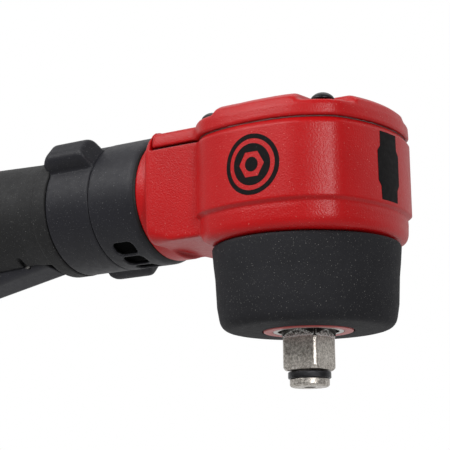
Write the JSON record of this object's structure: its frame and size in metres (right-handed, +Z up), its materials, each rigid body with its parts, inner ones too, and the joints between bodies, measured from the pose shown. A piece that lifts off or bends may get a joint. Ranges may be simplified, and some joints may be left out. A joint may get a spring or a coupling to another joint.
{
  "type": "angle impact wrench",
  "caption": "Right-angle pneumatic impact wrench: square drive under a gear head, reversing ring, round grip with a hinged throttle lever and a threaded air inlet.",
  "frame": {"origin": "centre of the end face of the square drive", "axes": "+Z up along the anvil into the head, +X from the handle to the nose of the head, the throttle lever under the handle"},
  "size_m": [0.2718, 0.0662, 0.0903],
  "materials": {
    "red_paint": "satin red paint on a cast aluminium housing, faintly textured",
    "gasket": "matt grey gasket sheet",
    "black_oxide": "black oxide",
    "boot_rubber": "matt, finely speckled",
    "grip_rubber": "matt, finely speckled",
    "composite": "satin moulded composite",
    "anvil_steel": "machined and oiled",
    "bearing_steel": "ground",
    "forged_steel": "hardened, grey",
    "bare_aluminium": "cast and turned",
    "brass": "turned",
    "seal_rubber": "matt black"
  },
  "bodies": {
    "housing": {"head_housing": "red_paint", "head_cover": "red_paint", "cover_gasket": "gasket", "cover_screw_1": "black_oxide", "cover_screw_2": "black_oxide", "cover_screw_3": "black_oxide", "cover_screw_4": "black_oxide", "clutch_housing": "red_paint", "nose_boot": "boot_rubber", "anvil_bushing": "bearing_steel", "gear_bearing": "bearing_steel", "pinion_bearing_front": "bearing_steel", "pinion_spacer": "bare_aluminium", "pinion_bearing_rear": "bearing_steel", "motor_cylinder": "bearing_steel", "front_end_plate": "bearing_steel", "rotor_bearing_front": "bearing_steel", "rear_end_plate": "bearing_steel", "rotor_bearing_rear": "bearing_steel", "exhaust_ring": "composite", "exhaust_muffler": "seal_rubber", "ring_seal_1": "seal_rubber", "ring_seal_2": "seal_rubber", "handle_housing": "bare_aluminium", "grip_sleeve": "grip_rubber", "end_cap": "composite", "detent_spring": "bearing_steel", "detent_ball": "bearing_steel", "inlet_bushing": "bearing_steel", "inlet_screen": "brass", "lever_pin": "bearing_steel", "valve_bushing": "brass", "valve_spring": "bearing_steel"},
    "anvil": {"anvil": "anvil_steel", "anvil_o_ring": "seal_rubber", "friction_ring": "black_oxide"},
    "cage": {"hammer_cage": "forged_steel", "hammer_pin_1": "bearing_steel", "hammer_pin_2": "bearing_steel", "bevel_gear": "forged_steel"},
    "lower_hammer": {"hammer_lower": "forged_steel"},
    "upper_hammer": {"hammer_upper": "forged_steel"},
    "rotor": {"rotor": "forged_steel", "pinion_shaft": "forged_steel", "rotor_vane_1": "composite", "rotor_vane_2": "composite", "rotor_vane_3": "composite", "rotor_vane_4": "composite", "rotor_vane_5": "composite"},
    "selector": {"regulator_ring": "composite", "selector_key": "bearing_steel", "reverse_valve": "brass"},
    "lever": {"throttle_lever": "composite"},
    "throttle": {"throttle_valve": "brass"}
  },
  "joints": [
    {"name": "anvil_spin", "type": "hinge", "parent": "housing", "child": "anvil", "pos_m": [0, 0, 0.02], "axis": [0, 0, 1], "continuous": true},
    {"name": "cage_spin", "type": "hinge", "parent": "housing", "child": "cage", "pos_m": [0, 0, 0.04], "axis": [0, 0, 1], "continuous": true},
    {"name": "lower_hammer_swing", "type": "hinge", "parent": "cage", "child": "lower_hammer", "pos_m": [0, 0.0176, 0.035], "axis": [0, 0, 1], "range_deg": [-4.5, 4.5]},
    {"name": "upper_hammer_swing", "type": "hinge", "parent": "cage", "child": "upper_hammer", "pos_m": [0, -0.0176, 0.043], "axis": [0, 0, 1], "range_deg": [-4.5, 4.5]},
    {"name": "rotor_spin", "type": "hinge", "parent": "housing", "child": "rotor", "pos_m": [-0.05, 0, 0.0675], "axis": [1, 0, 0], "continuous": true},
    {"name": "selector_turn", "type": "hinge", "parent": "housing", "child": "selector", "pos_m": [-0.0825, 0, 0.0675], "axis": [1, 0, 0], "range_deg": [-90, 0]},
    {"name": "lever_press", "type": "hinge", "parent": "housing", "child": "lever", "pos_m": [-0.112, 0, 0.0504], "axis": [0, 1, 0], "range_deg": [0, 6], "stiffness_Nm_per_rad": 2, "springref_deg": -2.86},
    {"name": "throttle_slide", "type": "slide", "parent": "housing", "child": "throttle", "axis": [0, 0, 1], "range_m": [0, 0.0026], "deforming": ["valve_spring"]}
  ],
  "couplings": [
    {"joint": "rotor_spin", "follows": "cage_spin", "ratio": -1.4286},
    {"joint": "throttle_slide", "follows": "lever_press", "m_per_rad": 0.024}
  ]
}
